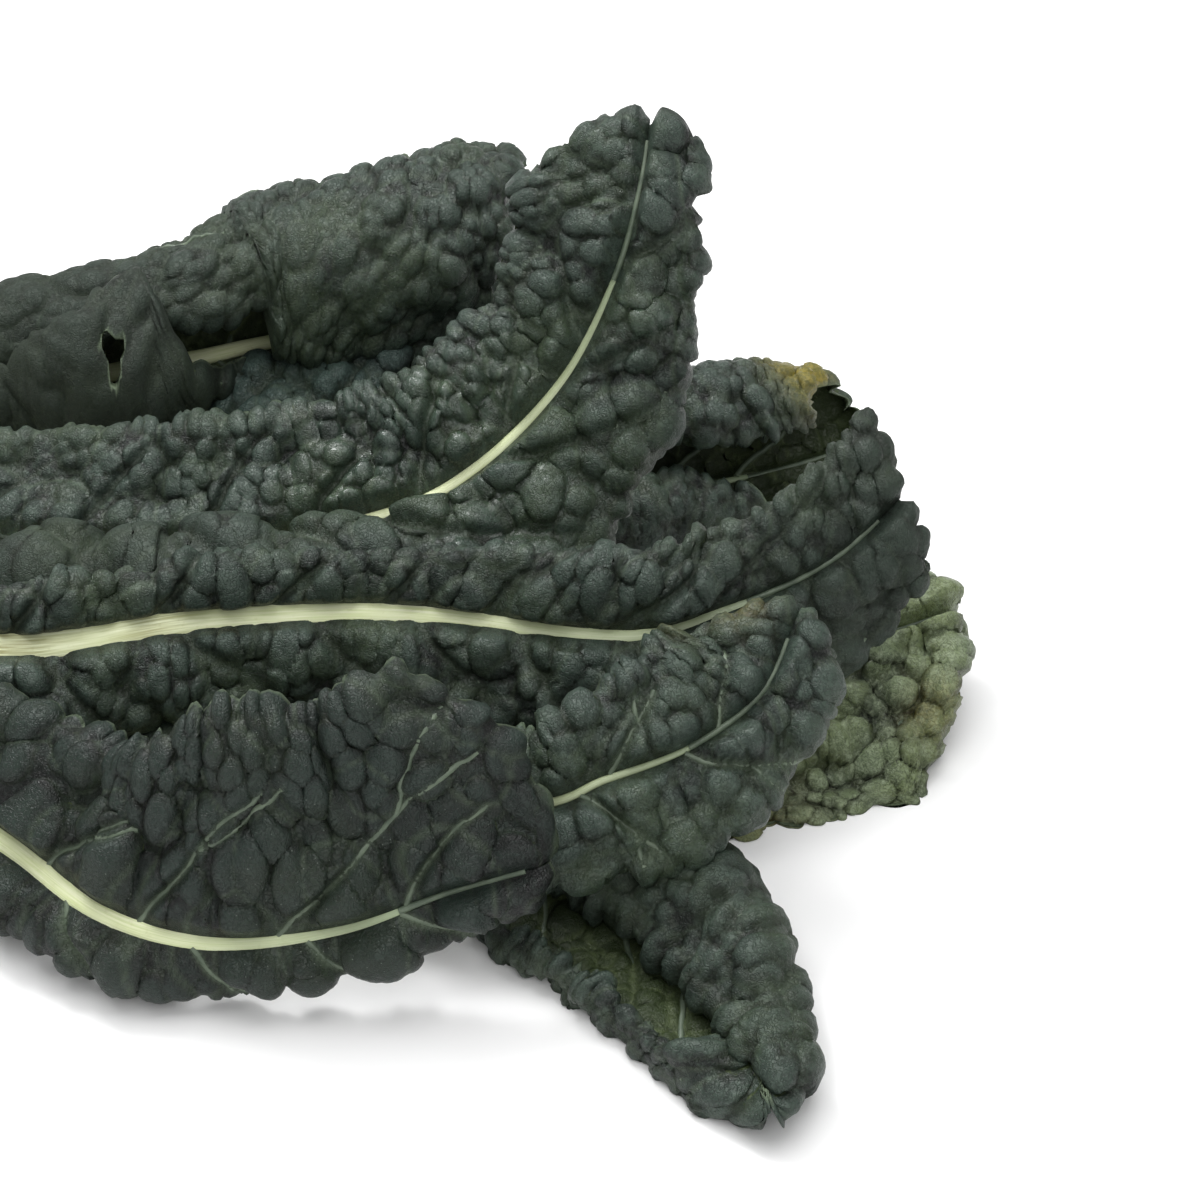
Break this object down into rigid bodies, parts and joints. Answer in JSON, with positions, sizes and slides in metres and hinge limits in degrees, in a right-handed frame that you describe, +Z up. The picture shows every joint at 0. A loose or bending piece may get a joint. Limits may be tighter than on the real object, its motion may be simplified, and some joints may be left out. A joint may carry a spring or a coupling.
{
  "type": "kale bunch",
  "caption": "Loose bunch of long blistered lacinato kale leaves lying in a heap, pale ribs running on as cut stalks.",
  "frame": {"origin": "centre of the heap's footprint, on the surface it lies on", "axes": "+X from the cut stalk ends towards the leaf tips, +Y towards the back of the heap, +Z up"},
  "size_m": [0.4572, 0.3933, 0.1601],
  "materials": {
    "blade_dark": "waxy, blistered dark blue-green leaf",
    "blade_olive": "waxy, blistered olive green leaf",
    "rib": "smooth pale yellow-green rib and stalk"
  },
  "bodies": {
    "root": {"leaf_tall_blade": "blade_dark", "leaf_tall_stem": "rib", "leaf_long_blade": "blade_dark", "leaf_long_stem": "rib", "leaf_back_blade": "blade_dark", "leaf_back_stem": "rib", "leaf_low_blade": "blade_dark", "leaf_low_stem": "rib", "leaf_rolled_blade": "blade_dark", "leaf_rolled_stem": "rib", "leaf_right_blade": "blade_olive", "leaf_right_stem": "rib", "leaf_curl_blade": "blade_dark", "leaf_curl_stem": "rib", "leaf_front_blade": "blade_dark", "leaf_front_stem": "rib", "leaf_under_blade": "blade_dark", "leaf_under_stem": "rib"}
  },
  "joints": []
}
